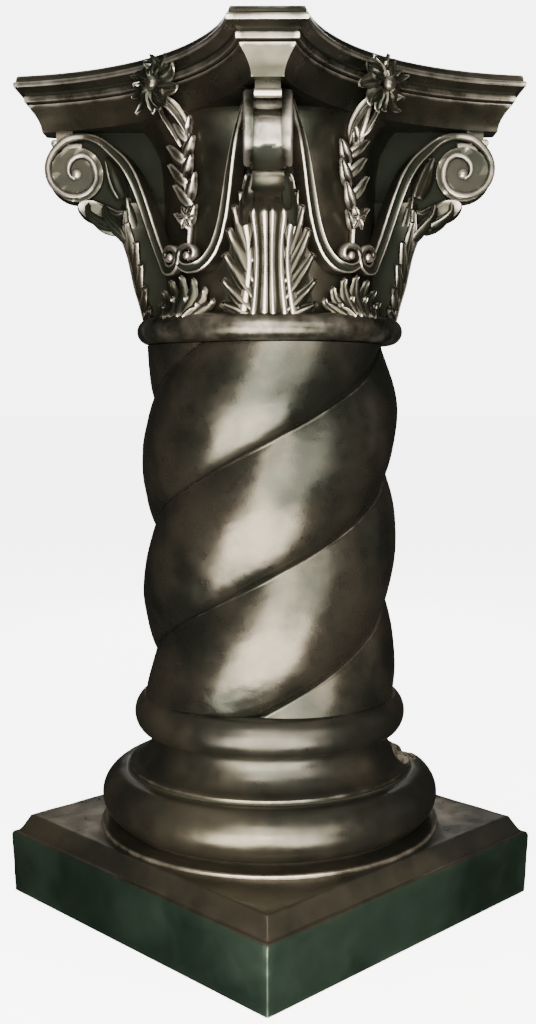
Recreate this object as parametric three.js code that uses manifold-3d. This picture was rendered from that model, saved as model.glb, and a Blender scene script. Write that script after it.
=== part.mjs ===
// Decorative column: a twisted shaft between a moulded base on a square plinth and a leafy capital.
// Millimetres, +Z up, origin at the middle of the underside, plinth sides along X and Y.
import * as THREE from 'three';
import { mergeVertices } from 'three/addons/utils/BufferGeometryUtils.js';
import Module from 'manifold-3d';

const wasm = await Module();
wasm.setup();

const DEG = Math.PI / 180;

// Driving dimensions of the whole column
const HEIGHT = 774;
const PLINTH_SIDE = 360;
const PLINTH_TOP = 61;
const SLAB_TOP = 77.7;
const SHAFT_FOOT = 202.5;
const SHAFT_HEAD = 532;
const SEAT_GAP = 0.3;

// Plinth: a block that narrows a little towards the floor, and a sloped slab on it
const PLINTH_FOOT_SIDE = 356;
const PLINTH_ARRIS = 3.5;
const SLAB_FOOT_SIDE = 347;
const SLAB_SIDE = 332;

// Base mouldings turned round the axis
const BASE_SEGMENTS = 34;
const FILLET_RADIUS = 163.5;
const TORUS = { ring: 131.5, height: 108.5, across: 30, up: 27.5 };
const SCOTIA = { rim: 127.5, rimTop: 141, waist: 113, waistHeight: 162 };
const COLLAR = { ring: 112, height: 185, across: 18, up: 20 };
const COLLAR_END = Math.asin((SHAFT_FOOT - COLLAR.height) / COLLAR.up) / DEG;

// The chip broken out of the big moulding behind and to one side, as two overlapping bites
const CHIPS = [
  { angle: 71, radius: 153, height: 140, along: 40, across: 27, down: 28 },
  { angle: 57, radius: 138, height: 146, along: 26, across: 16, down: 24 },
];

// Shaft: three round strands wound into one twisted stem
const STRANDS = 3;
const STRAND_RADIUS = 99.3;
const STRAND_OFFSET = 21.5;
const STRAND_POINTS = 14;
const LEAD = 358.8;
const GROOVE_ANGLE = -45;
const GROOVE_HEIGHT = 327.2;
const SHAFT_LEVELS = 18;
const NECK_START = 470;
const NECK_SHRINK = 0.045;

// Capital: a bell under an abacus with four hollow sides and cut corners
const BELL_SEGMENTS = 24;
const ASTRAGAL = { ring: 112.3, height: 544.6, across: 12.2, up: 12 };
const BELL = { foot: 556, radius: 99, waist: 640, neck: 685, neckRadius: 108, topRadius: 118 };
const ABACUS_FOOT = 727;
const ABACUS_CORNER = 228.3;
const ABACUS_MIDDLE = 135;
const ABACUS_HOLLOW = 240;
const ABACUS_STEPS = 6;

// Corner scrolls, seen from the side as spirals
const EYE = { out: 178, height: 688.5, radius: 5.5 };
const SCROLL = { outer: 28, growth: 9, tighten: 26, turns: 1.04, band: 13, rim: 19.3, rimWidth: 6 };

// Stems: flat bands from the corner scrolls down the bell, curling up at the foot
const STEM = { width: 13, depth: 10 };
const CURL = { angle: 39.5, height: 604, radius: 10.5, out: 115 };

// Leaves under the corner scrolls
const LEAF = { foot: 555, top: 652, inner: 94, steps: 7 };
const LEAF_ROLL = { out: 165, height: 659, radial: 18, upright: 11, halfWidth: 15 };

const finish = (color, roughness) => new THREE.MeshStandardMaterial({ color, roughness, metalness: 0.85 });

// A closed solid from a three.js geometry
function solid(geometry) {
  const bare = geometry.index ? geometry.clone() : geometry;
  bare.deleteAttribute('normal');
  bare.deleteAttribute('uv');
  const welded = mergeVertices(bare, 1e-4);
  const mesh = new wasm.Mesh({
    numProp: 3,
    vertProperties: new Float32Array(welded.attributes.position.array),
    triVerts: new Uint32Array(welded.index.array),
  });
  return new wasm.Manifold(mesh);
}

// A solid through a list of closed rings with the same number of points each
function loft(rings) {
  const count = rings[0].length;
  const positions = [];
  const index = [];
  for (const ring of rings) {
    for (const p of ring) positions.push(p.x, p.y, p.z);
  }
  for (let k = 0; k + 1 < rings.length; k += 1) {
    for (let i = 0; i < count; i += 1) {
      const a = k * count + i;
      const b = k * count + ((i + 1) % count);
      index.push(a, b, b + count, a, b + count, a + count);
    }
  }
  const cap = (ring, first, turned) => {
    const middle = positions.length / 3;
    const centre = new THREE.Vector3();
    for (const p of ring) centre.addScaledVector(p, 1 / count);
    positions.push(centre.x, centre.y, centre.z);
    for (let i = 0; i < count; i += 1) {
      const a = first + i;
      const b = first + ((i + 1) % count);
      index.push(middle, turned ? b : a, turned ? a : b);
    }
  };
  cap(rings[0], 0, true);
  cap(rings[rings.length - 1], (rings.length - 1) * count, false);
  const geometry = new THREE.BufferGeometry();
  geometry.setAttribute('position', new THREE.Float32BufferAttribute(positions, 3));
  geometry.setIndex(index);
  return solid(outward(geometry));
}

// Turns the faces round where a ring list ran the other way
function outward(geometry) {
  const p = geometry.attributes.position;
  const index = geometry.index.array;
  const [a, b, c] = [new THREE.Vector3(), new THREE.Vector3(), new THREE.Vector3()];
  let volume = 0;
  for (let i = 0; i < index.length; i += 3) {
    a.fromBufferAttribute(p, index[i]);
    b.fromBufferAttribute(p, index[i + 1]);
    c.fromBufferAttribute(p, index[i + 2]);
    volume += a.dot(b.cross(c));
  }
  if (volume < 0) {
    for (let i = 0; i < index.length; i += 3) {
      const swap = index[i];
      index[i] = index[i + 1];
      index[i + 1] = swap;
    }
  }
  return geometry;
}

// A turned solid from a profile of [radius, height] pairs that starts and ends on the axis
function turned(profile, segments) {
  const points = profile.map(([r, z]) => new THREE.Vector2(r, z));
  const geometry = new THREE.LatheGeometry(points, segments);
  geometry.rotateX(Math.PI / 2);
  geometry.deleteAttribute('normal');
  geometry.deleteAttribute('uv');
  return solid(outward(mergeVertices(geometry, 1e-4)));
}

// Points of a round moulding between two angles measured from level, in degrees
function moulding({ ring, height, across, up }, from, to, steps) {
  const points = [];
  for (let i = 0; i <= steps; i += 1) {
    const angle = (from + ((to - from) * i) / steps) * DEG;
    points.push([ring + across * Math.cos(angle), height + up * Math.sin(angle)]);
  }
  return points;
}

const join = (parts) => parts.reduce((whole, part) => whole.add(part));

// A point at an angle round the axis, in degrees from +X
const around = (angle, radius, z) => new THREE.Vector3(
  radius * Math.cos(angle * DEG),
  radius * Math.sin(angle * DEG),
  z,
);

// A square ring with small cut corners
function squareRing(side, arris, z) {
  const ring = [];
  for (let k = 0; k < 4; k += 1) {
    const turn = k * 90 * DEG;
    for (const [x, y] of [[side / 2, side / 2 - arris], [side / 2 - arris, side / 2]]) {
      ring.push(new THREE.Vector3(
        x * Math.cos(turn) - y * Math.sin(turn),
        x * Math.sin(turn) + y * Math.cos(turn),
        z,
      ));
    }
  }
  return ring;
}

// Base: plinth block, slab, big moulding, hollow and collar, all one casting
function makeBase() {
  const plinth = loft([
    squareRing(PLINTH_FOOT_SIDE, PLINTH_ARRIS, 0),
    squareRing(PLINTH_SIDE, PLINTH_ARRIS, PLINTH_TOP - 4),
    squareRing(PLINTH_SIDE - 3, PLINTH_ARRIS, PLINTH_TOP),
    squareRing(SLAB_FOOT_SIDE, PLINTH_ARRIS, PLINTH_TOP + 0.5),
    squareRing(SLAB_FOOT_SIDE - 2, PLINTH_ARRIS, PLINTH_TOP + 4),
    squareRing(SLAB_SIDE, PLINTH_ARRIS, SLAB_TOP),
  ]);
  const profile = [
    [0, SLAB_TOP - 8],
    [FILLET_RADIUS, SLAB_TOP - 8],
    [FILLET_RADIUS, SLAB_TOP + 4],
    ...moulding(TORUS, -68, 78, 6),
    [SCOTIA.rim, SCOTIA.rimTop - 5],
    [SCOTIA.rim, SCOTIA.rimTop],
    [SCOTIA.rim - 6, SCOTIA.rimTop + 3],
    [SCOTIA.rim - 11.5, SCOTIA.rimTop + 11],
    [SCOTIA.waist, SCOTIA.waistHeight],
    ...moulding(COLLAR, -76, COLLAR_END, 4),
    [0, SHAFT_FOOT],
  ];
  const whole = plinth.add(turned(profile, BASE_SEGMENTS));
  return CHIPS.reduce((left, chip) => left.subtract(makeBite(chip)), whole);
}

// A rough lump to take out where the moulding is chipped
function makeBite(chip) {
  const bite = new THREE.IcosahedronGeometry(1, 1);
  bite.scale(chip.across, chip.along, chip.down);
  bite.rotateX(0.35);
  bite.rotateZ(chip.angle * DEG);
  const place = around(chip.angle, chip.radius, chip.height);
  bite.translate(place.x, place.y, place.z);
  return solid(bite);
}

// One ring of the shaft: arcs of the strands, meeting in grooves that turn with height
function strandRing(z) {
  const groove = GROOVE_ANGLE + (360 * (z - GROOVE_HEIGHT)) / LEAD;
  const meet = STRAND_OFFSET / 2 + Math.sqrt(STRAND_RADIUS ** 2 - 0.75 * STRAND_OFFSET ** 2);
  const half = Math.atan2(meet * Math.sin(60 * DEG), meet * Math.cos(60 * DEG) - STRAND_OFFSET);
  const neck = THREE.MathUtils.smoothstep(z, NECK_START, SHAFT_HEAD);
  const scale = 1 - NECK_SHRINK * neck;
  const ring = [];
  for (let k = 0; k < STRANDS; k += 1) {
    const middle = (groove + (k + 0.5) * (360 / STRANDS)) * DEG;
    for (let i = 0; i < STRAND_POINTS; i += 1) {
      const angle = middle - half + (2 * half * i) / STRAND_POINTS;
      ring.push(new THREE.Vector3(
        scale * (STRAND_OFFSET * Math.cos(middle) + STRAND_RADIUS * Math.cos(angle)),
        scale * (STRAND_OFFSET * Math.sin(middle) + STRAND_RADIUS * Math.sin(angle)),
        z,
      ));
    }
  }
  return ring;
}

function makeShaft() {
  const foot = SHAFT_FOOT + SEAT_GAP;
  const rings = [];
  for (let k = 0; k <= SHAFT_LEVELS; k += 1) {
    rings.push(strandRing(foot + ((SHAFT_HEAD - foot) * k) / SHAFT_LEVELS));
  }
  return loft(rings);
}

// The abacus outline, moved in or out by an amount, with hollow arcs between the cut corners
function abacusRing(offset, z) {
  const centre = ABACUS_MIDDLE + ABACUS_HOLLOW;
  const radius = ABACUS_HOLLOW - offset;
  const cut = Math.SQRT2 * (ABACUS_CORNER + offset);
  const lead = centre - cut;
  const end = (-lead + Math.sqrt(2 * radius ** 2 - lead ** 2)) / 2;
  const sweep = Math.asin(end / radius);
  const ring = [];
  for (let side = 0; side < 4; side += 1) {
    for (let i = 0; i <= ABACUS_STEPS; i += 1) {
      const angle = sweep - (2 * sweep * i) / ABACUS_STEPS;
      const out = centre - radius * Math.cos(angle);
      const along = -radius * Math.sin(angle);
      const turn = side * 90 * DEG;
      ring.push(new THREE.Vector3(
        out * Math.cos(turn) - along * Math.sin(turn),
        out * Math.sin(turn) + along * Math.cos(turn),
        z,
      ));
    }
  }
  return ring;
}

// Abacus mouldings from the top: fascia, cove, fillet and a long hollow
function makeAbacus() {
  const steps = [
    [-18.7, ABACUS_FOOT],
    [-16, ABACUS_FOOT + 11],
    [-9, ABACUS_FOOT + 21],
    [-5, ABACUS_FOOT + 23],
    [-5, ABACUS_FOOT + 28.5],
    [3.5, ABACUS_FOOT + 34],
    [3.5, HEIGHT - 6],
    [-1.2, HEIGHT],
  ];
  return loft(steps.map(([offset, z]) => abacusRing(offset, z)));
}

function makeBell() {
  return turned([
    [0, SHAFT_HEAD + SEAT_GAP],
    ...moulding(ASTRAGAL, -86, 86, 6),
    [BELL.radius, BELL.foot + 3],
    [BELL.radius, BELL.waist],
    [BELL.neckRadius, BELL.neck],
    [BELL.topRadius, ABACUS_FOOT + 4],
    [0, ABACUS_FOOT + 4],
  ], BELL_SEGMENTS);
}

// Radius of a corner scroll at an angle above its outward direction, in degrees; it tightens inside
function scrollRadius(angle) {
  const inside = Math.max(0, -80 - angle);
  return SCROLL.outer + (SCROLL.growth * angle - SCROLL.tighten * inside) / 360;
}

// Stands a flat outline of [outward, height] upright across a corner, from one side to the other
function upright(points, halfWidth, corner) {
  const shape = new THREE.Shape(points.map(([out, z]) => new THREE.Vector2(out, z)));
  const geometry = new THREE.ExtrudeGeometry(shape, { depth: 2 * halfWidth, bevelEnabled: false });
  geometry.translate(0, 0, -halfWidth);
  geometry.rotateX(Math.PI / 2);
  geometry.rotateZ(corner * DEG);
  return solid(geometry);
}

function scrollPoint(angle, inset) {
  const radius = scrollRadius(angle) - inset;
  return [EYE.out + radius * Math.cos(angle * DEG), EYE.height + radius * Math.sin(angle * DEG)];
}

// Corner scroll: a band round a sunk web, with a spiral rim and an eye on both sides
function makeScroll(corner) {
  const outline = [];
  for (let angle = -110; angle < 60; angle += 24) outline.push(scrollPoint(angle, 0));
  outline.push([196, 717], [203, ABACUS_FOOT + 2], [110, ABACUS_FOOT + 2], [96, 640], [148, 656]);
  const start = 95;
  const stop = start - 360 * SCROLL.turns;
  const steps = 11;
  const outer = [];
  const inner = [];
  for (let i = 0; i <= steps; i += 1) {
    const angle = start + ((stop - start) * i) / steps;
    outer.push(scrollPoint(angle, 2.2));
    inner.unshift(scrollPoint(angle, 2.2 + SCROLL.rimWidth * (1 - (0.45 * i) / steps)));
  }
  const eye = [];
  for (let i = 0; i < 6; i += 1) {
    const angle = i * 60 * DEG;
    eye.push([EYE.out + EYE.radius * Math.cos(angle), EYE.height + EYE.radius * Math.sin(angle)]);
  }
  return join([
    upright(outline, SCROLL.band, corner),
    upright([...outer, ...inner], SCROLL.rim, corner),
    upright(eye, SCROLL.rim, corner),
  ]);
}

// Stem: stations of [degrees from the corner, radius, height], on one side of a corner
function makeStem(corner, side) {
  const stations = [
    [5.5, 176, 716],
    [7.5, 162, 713],
    [9.9, 146, 705],
    [13.2, 127, 676],
    [16.5, 118, 650],
    [21.2, 110, 624],
    [28, 108, 606],
    [34.5, 109, 597],
    [40, 111, 595],
  ];
  const path = new THREE.CatmullRomCurve3(
    stations.map(([angle, radius, z]) => around(corner + side * angle, radius, z)),
  );
  const rings = [];
  const steps = 6;
  for (let k = 0; k <= steps; k += 1) {
    const p = path.getPointAt(k / steps);
    const along = path.getTangentAt(k / steps);
    const out = new THREE.Vector3(p.x, p.y, 0).normalize();
    const across = new THREE.Vector3().crossVectors(along, out).normalize();
    const front = new THREE.Vector3().crossVectors(across, along).normalize();
    const w = STEM.width / 2;
    rings.push([[-w, -STEM.depth], [-w * 0.7, 3.2], [0, 0.6], [w * 0.7, 3.2], [w, -STEM.depth]]
      .map(([a, f]) => p.clone().addScaledVector(across, a).addScaledVector(front, f)));
  }
  const curl = new THREE.CylinderGeometry(CURL.radius, CURL.radius + 1, 26, 7);
  curl.rotateZ(-Math.PI / 2);
  curl.translate(CURL.out - 13, 0, 0);
  curl.rotateZ((corner + side * CURL.angle) * DEG);
  curl.translate(0, 0, CURL.height);
  return loft(rings).add(solid(curl));
}

// Leaf: half width and front radius by height, with notched edges and a raised middle rib
function makeLeaf(corner) {
  const rings = [];
  for (let k = 0; k <= LEAF.steps; k += 1) {
    const t = k / LEAF.steps;
    const z = LEAF.foot + (LEAF.top - LEAF.foot) * t;
    const front = 119 + 20 * t + 14 * t ** 6;
    const notch = k % 3 === 2 ? 0.82 : 1;
    const half = (40 - 19 * t) * notch;
    const edge = front - 7 - 3 * (1 - t);
    const ring = [[-half, LEAF.inner], [-half, edge - 3], [-half * 0.5, edge + 3]];
    ring.push([0, front], [half * 0.5, edge + 3], [half, edge - 3], [half, LEAF.inner]);
    rings.push(ring.map(([across, out]) => new THREE.Vector3(out, across, z)
      .applyAxisAngle(new THREE.Vector3(0, 0, 1), corner * DEG)));
  }
  const roll = new THREE.SphereGeometry(1, 7, 4);
  roll.scale(LEAF_ROLL.radial, LEAF_ROLL.halfWidth, LEAF_ROLL.upright);
  roll.translate(LEAF_ROLL.out, 0, LEAF_ROLL.height);
  roll.rotateZ(corner * DEG);
  return loft(rings).add(solid(roll));
}

// A lump of carving: a low round body of given half sizes [out, across, up]
function lump(face, radius, z, [out, across, up], shift = 0) {
  const geometry = new THREE.SphereGeometry(1, 6, 4);
  geometry.rotateX(Math.PI / 2);
  geometry.scale(out, across, up);
  geometry.translate(radius, shift, 0);
  geometry.rotateZ(face * DEG);
  geometry.translate(0, 0, z);
  return solid(geometry);
}

// Flower on the middle of each side of the abacus, with a hanging spray of leaves below it
function makeSpray(face) {
  return join([
    lump(face, 132, 756, [17, 15, 18]),
    lump(face, 129, 738, [14, 20, 14]),
    lump(face, 116, 702, [13, 14, 26]),
    lump(face, 105, 652, [12, 12, 28]),
    lump(face, 101, 574, [9, 26, 18]),
  ]);
}

function makeCapital() {
  const parts = [makeBell(), makeAbacus()];
  for (let k = 0; k < 4; k += 1) {
    const corner = 45 + 90 * k;
    parts.push(makeScroll(corner), makeLeaf(corner), makeStem(corner, 1), makeStem(corner, -1));
    parts.push(makeSpray(90 * k));
  }
  return join(parts);
}

// A named mesh from a finished solid
function piece(name, body, material) {
  const { vertProperties, triVerts } = body.getMesh();
  const geometry = new THREE.BufferGeometry();
  geometry.setAttribute('position', new THREE.BufferAttribute(new Float32Array(vertProperties), 3));
  geometry.setIndex(new THREE.BufferAttribute(new Uint32Array(triVerts), 1));
  geometry.computeVertexNormals();
  const mesh = new THREE.Mesh(geometry, material);
  mesh.name = name;
  return mesh;
}

const column = new THREE.Group();
column.name = 'decorative_column';
column.add(piece('base', makeBase(), finish(0x4a443a, 0.42)));
column.add(piece('shaft', makeShaft(), finish(0x5b554c, 0.36)));
column.add(piece('capital', makeCapital(), finish(0x45423a, 0.4)));

export default column;
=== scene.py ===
# %% [markdown]
# # A decorative column in patinated casting
#
# The real object is a short column: a square plinth with round mouldings, a shaft that looks
# like three strands wound together, and a leafy capital under a four-horned abacus.
# The CAD model gives its size and main forms. This lesson dresses it with the finer carving and
# with a dark, rubbed bronze finish. Every piece keeps to the form of the solid it stands for.

# %% Load the CAD frame
import math
import bpy
import numpy as np
from mathutils import Matrix, Vector, noise


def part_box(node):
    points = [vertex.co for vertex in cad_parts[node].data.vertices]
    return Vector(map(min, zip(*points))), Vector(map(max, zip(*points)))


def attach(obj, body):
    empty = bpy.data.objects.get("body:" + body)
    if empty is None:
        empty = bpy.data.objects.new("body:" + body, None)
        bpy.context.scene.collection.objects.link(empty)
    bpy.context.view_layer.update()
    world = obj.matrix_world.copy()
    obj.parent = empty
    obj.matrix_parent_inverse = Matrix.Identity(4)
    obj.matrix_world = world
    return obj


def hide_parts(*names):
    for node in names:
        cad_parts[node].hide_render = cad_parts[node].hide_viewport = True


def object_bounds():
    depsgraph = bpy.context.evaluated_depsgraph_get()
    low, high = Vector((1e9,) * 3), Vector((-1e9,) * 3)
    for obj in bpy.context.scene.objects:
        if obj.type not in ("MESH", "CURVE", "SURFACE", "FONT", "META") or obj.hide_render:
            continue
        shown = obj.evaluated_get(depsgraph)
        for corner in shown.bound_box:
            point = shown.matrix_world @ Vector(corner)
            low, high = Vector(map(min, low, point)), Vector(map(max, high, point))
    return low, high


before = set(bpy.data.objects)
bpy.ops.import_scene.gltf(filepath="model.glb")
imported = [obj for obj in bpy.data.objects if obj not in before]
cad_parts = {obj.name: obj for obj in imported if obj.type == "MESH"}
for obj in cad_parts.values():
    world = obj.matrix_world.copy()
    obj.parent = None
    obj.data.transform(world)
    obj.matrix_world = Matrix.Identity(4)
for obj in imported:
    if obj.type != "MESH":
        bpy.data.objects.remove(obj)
cad_low, cad_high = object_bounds()
MM = 0.001
HEIGHT = cad_high.z / MM
print("nodes", sorted(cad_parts), "height in mm", round(HEIGHT, 1))

# %% [markdown]
# ## Working by hand, in small steps
#
# An operator acts on whatever is selected, and the loaded CAD nodes arrive selected, so each step
# starts from an empty selection. The first helper below sees to that before a primitive is added,
# and it leaves edit mode too.

# %% Selecting one piece
def clear_selection():
    if bpy.context.mode != "OBJECT":
        bpy.ops.object.mode_set(mode="OBJECT")
    bpy.ops.object.select_all(action="DESELECT")


def pick(piece):
    clear_selection()
    piece.select_set(True)
    bpy.context.view_layer.objects.active = piece


def edit_all():
    """Opens the active piece in edit mode, with all of it selected."""
    bpy.ops.object.mode_set(mode="EDIT")
    bpy.ops.mesh.select_all(action="SELECT")


def tidy_surface(piece, merge=1e-5):
    """Merges doubled corners and turns every face outwards."""
    pick(piece)
    edit_all()
    bpy.ops.mesh.remove_doubles(threshold=merge)
    bpy.ops.mesh.dissolve_degenerate(threshold=1e-7)
    bpy.ops.mesh.normals_make_consistent(inside=False)
    bpy.ops.object.mode_set(mode="OBJECT")


def smooth_by_angle(piece, degrees=35):
    pick(piece)
    bpy.ops.object.shade_smooth_by_angle(angle=math.radians(degrees))


def join_pieces(name, pieces):
    pick(pieces[0])
    for piece in pieces[1:]:
        piece.select_set(True)
    bpy.ops.object.join()
    pieces[0].name = name
    return pieces[0]


# %% [markdown]
# ## A grid that is laid over a form
#
# Mouldings can be spun and plinths extruded, but carving bends in every direction. For it, a flat
# grid is added and each of its corners is moved to a place worked out from its two grid
# coordinates. Where two edges of the grid land on each other they are merged, which closes it.

# %% Grids laid over a form
def read_points(mesh):
    flat = np.empty(len(mesh.vertices) * 3)
    mesh.vertices.foreach_get("co", flat)
    return flat.reshape(-1, 3)


def write_points(mesh, points):
    mesh.vertices.foreach_set("co", np.asarray(points, float).ravel())
    mesh.update()


def laid_grid(name, columns, rows, place):
    """A grid of columns x rows cells; place turns two arrays from 0 to 1 into x, y, z in mm."""
    clear_selection()
    bpy.ops.mesh.primitive_grid_add(x_subdivisions=columns, y_subdivisions=rows, size=2)
    piece = bpy.context.object
    piece.name = name
    points = read_points(piece.data)
    u = np.rint((points[:, 0] + 1) / 2 * columns) / columns
    v = np.rint((points[:, 1] + 1) / 2 * rows) / rows
    write_points(piece.data, np.asarray(place(u, v)) * MM)
    tidy_surface(piece)
    return piece


# %% Places round the axis
def polar(angle, radius, z):
    """The place at an angle in degrees round the axis, as (x, y, z)."""
    a = math.radians(angle)
    return radius * math.cos(a), radius * math.sin(a), z


def circle(radius, count):
    """Count points round a circle, as (x, y)."""
    return [(radius * math.cos(a), radius * math.sin(a))
            for a in np.linspace(0, 2 * math.pi, count, endpoint=False)]


# %% Smooth lines through a few points
SPLINE_STEPS = 24


def through(points, count):
    """Count rows on a smooth line through the given rows, evenly spaced along the line."""
    rows = np.array(points, float)
    ends = np.vstack([2 * rows[0] - rows[1], rows, 2 * rows[-1] - rows[-2]])
    t = np.linspace(0, 1, SPLINE_STEPS, endpoint=False)[:, None]
    dense = []
    for a, b, c, d in zip(ends, ends[1:], ends[2:], ends[3:]):
        dense.append(0.5 * (2 * b + (c - a) * t + (2 * a - 5 * b + 4 * c - d) * t**2
                            + (3 * b - a - 3 * c + d) * t**3))
    dense = np.vstack(dense + [rows[-1:]])
    step = np.r_[0, np.cumsum(np.linalg.norm(np.diff(dense[:, :3], axis=0), axis=1))]
    at = np.linspace(0, step[-1], count)
    return np.column_stack([np.interp(at, step, column) for column in dense.T])


def unit(vectors):
    return vectors / np.maximum(np.linalg.norm(vectors, axis=1, keepdims=True), 1e-9)


# %% A section swept along a line
def sweep(name, path, facing, wide, deep, section):
    """A closed form: the section (across, up) is scaled by wide and deep along the path.

    Up is the part of facing that stands square to the path.
    """
    path = np.asarray(path, float)
    facing = np.broadcast_to(np.asarray(facing, float), path.shape)
    along = unit(np.gradient(path, axis=0))
    side = unit(np.cross(along, facing))
    up = np.cross(side, along)
    path, side, up = (np.vstack([a[:1], a, a[-1:]]) for a in (path, side, up))
    wide = np.r_[0, np.broadcast_to(wide, len(path) - 2), 0]
    deep = np.r_[0, np.broadcast_to(deep, len(path) - 2), 0]
    section = np.asarray(section, float)
    if section.ndim == 2:
        section = np.broadcast_to(section, (len(path),) + section.shape)
    else:
        section = np.concatenate([section[:1], section, section[-1:]])
    stations, corners = len(path), section.shape[1]

    def place(u, v):
        i = np.rint(u * (stations - 1)).astype(int)
        j = np.rint(v * corners).astype(int) % corners
        across = section[i, j, 0] * wide[i]
        out = section[i, j, 1] * deep[i]
        return path[i] + side[i] * across[:, None] + up[i] * out[:, None]

    return laid_grid(name, stations - 1, corners, place)


# %% Copies turned round the axis
def turned_copies(piece, angles, name):
    """One copy per angle in degrees, each with its own mesh; the first piece is used up."""
    copies = []
    for number, angle in enumerate(angles, 1):
        twin = piece.copy()
        twin.data = piece.data.copy()
        twin.name = f"{name}_{number}"
        bpy.context.collection.objects.link(twin)
        twin.data.transform(Matrix.Rotation(math.radians(angle), 4, "Z"))
        copies.append(twin)
    bpy.data.objects.remove(piece)
    print(name, len(copies), "copies of", len(copies[0].data.polygons), "faces")
    return copies


# %% [markdown]
# ## The camera
#
# The photograph looks at one corner of the plinth, from a little above the middle of the column
# and from close by, so the near corner of the abacus points at the viewer. The distance, height
# and lens were worked out from the edges of the plinth and the abacus in the photograph.

# %% Camera
VIEW_AZIMUTH = 45.4
VIEW_DISTANCE = 1.1678
VIEW_HEIGHT = 0.4848
VIEW_DOWN = 5.381
VIEW_LENS = 43.084
VIEW_SHIFT = -0.0016


def stand_at(azimuth, distance, height):
    turn = math.radians(azimuth)
    return Vector((distance * math.sin(turn), -distance * math.cos(turn), height))


clear_selection()
bpy.ops.object.camera_add(
    location=stand_at(VIEW_AZIMUTH, VIEW_DISTANCE, VIEW_HEIGHT),
    rotation=(math.radians(90 - VIEW_DOWN), 0, math.radians(VIEW_AZIMUTH)),
)
camera = bpy.context.object
camera.name = "photo_camera"
camera.data.lens = VIEW_LENS
camera.data.sensor_width = 36
camera.data.shift_x = VIEW_SHIFT
bpy.context.scene.camera = camera
print("camera at", [round(c, 3) for c in camera.location])

# %% [markdown]
# ## Proud edges and hollows
#
# On a handled casting the proud edges are rubbed bright and the hollows keep their dark patina; the
# dark hollow colour also serves as painted shade.
# For each corner of a mesh, the finish needs to know if it stands proud of the surface around it.
# A smoothed copy of the points gives that surface, and the height over it is kept as an
# attribute, which is a number that a material can read anywhere on the piece.

# %% Crest attribute
SHORTEST_EDGE = 0.5
COARSE_EDGE = 1.6


def mark_crests(piece, size=2.2, reach=0.5, shade=0.0):
    """Stores 'crest' from -1 in hollows to 1 on proud edges; size and reach in mm. A positive shade
    lowers it to paint shade, a negative one raises it to paint a highlight.

    Where the mesh is coarser than COARSE_EDGE it can't show fine relief, so the value fades there.
    """
    mesh = piece.data
    count = len(mesh.vertices)
    points = read_points(mesh) / MM
    pairs = np.empty(len(mesh.edges) * 2, int)
    mesh.edges.foreach_get("vertices", pairs)
    a, b = pairs.reshape(-1, 2).T
    long = np.linalg.norm(points[a] - points[b], axis=1)
    finest = np.full(count, np.inf)
    np.minimum.at(finest, a, long)
    np.minimum.at(finest, b, long)
    weight = 1 / np.maximum(long, SHORTEST_EDGE) ** 2
    total = np.bincount(a, weight, count) + np.bincount(b, weight, count)
    # a step under 1 / total.max() keeps the smoothing stable
    step = 0.9 / total.max()
    passes = int(np.ceil(size**2 / 4 / step))
    smooth = points.T.copy()
    for _ in range(passes):
        for column in smooth:
            flow = (column[b] - column[a]) * weight
            column += step * (np.bincount(a, flow, count) - np.bincount(b, flow, count))
    normals = np.empty(count * 3)
    mesh.vertices.foreach_get("normal", normals)
    height = ((points - smooth.T) * normals.reshape(-1, 3)).sum(axis=1) / reach
    height *= np.clip(COARSE_EDGE / finest, 0, 1) ** 2
    layer = mesh.attributes.new("crest", "FLOAT", "POINT")
    layer.data.foreach_set("value", np.clip(height - shade, -1, 1).astype(np.float32))


# %% [markdown]
# ## The plinth
#
# The plinth is a square block with a thin sloped slab on it. By hand it is a plane that is
# extruded upwards and resized at each level. Its edges are bevelled and its faces subdivided, so
# that a little unevenness, as on any casting, can be pressed into them.

# %% Plinth levels
# side and height of each level
PLINTH_LEVELS = [(356, 0), (360, 57.5), (357.4, 61), (348.6, 61.4), (347.6, 63.2), (345, 65),
                 (333.4, 76.4), (331, 77.7)]
BLOCK_TOP = 59.5
ROW_HEIGHT = 9
plinth_low, plinth_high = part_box("base")
print("side of the plinth's solid in mm", round((plinth_high.x - plinth_low.x) / MM, 1))


def extruded_square(name, levels, cells=36):
    side, height = levels[0]
    clear_selection()
    bpy.ops.mesh.primitive_grid_add(x_subdivisions=cells, y_subdivisions=cells, size=side * MM)
    piece = bpy.context.object
    piece.name = name
    edit_all()
    for new_side, new_height in levels[1:]:
        steps = max(1, round((new_height - height) / ROW_HEIGHT))
        for _ in range(steps):
            rise = (new_height - height) / steps * MM
            bpy.ops.mesh.extrude_region_move(TRANSFORM_OT_translate={"value": (0, 0, rise)})
            factor = (new_side / side) ** (1 / steps)
            bpy.ops.transform.resize(value=(factor, factor, 1))
        side, height = new_side, new_height
    tidy_surface(piece)
    return piece


plinth = extruded_square("plinth", PLINTH_LEVELS)

# %% Plinth edges and unevenness
def apply_modifier(piece, kind, **settings):
    pick(piece)
    modifier = piece.modifiers.new(kind.lower(), kind)
    for name, value in settings.items():
        setattr(modifier, name, value)
    bpy.ops.object.modifier_apply(modifier=modifier.name)


def uneven(piece, amount, size, seed=0.0):
    """Presses dents of a size into a piece, up to amount deep, both in mm; its foot stays flat."""
    mesh = piece.data
    points = read_points(mesh)
    normals = np.empty(len(points) * 3)
    mesh.vertices.foreach_get("normal", normals)
    shift = Vector((seed, 2 * seed, -seed))
    level = np.array([noise.noise(Vector(p) / (size * MM) + shift) for p in points])
    level = (0.5 + 0.5 * np.clip(1.6 * level, -1, 1)) * amount * MM
    level *= points[:, 2] > MM
    write_points(mesh, points - normals.reshape(-1, 3) * level[:, None])


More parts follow.
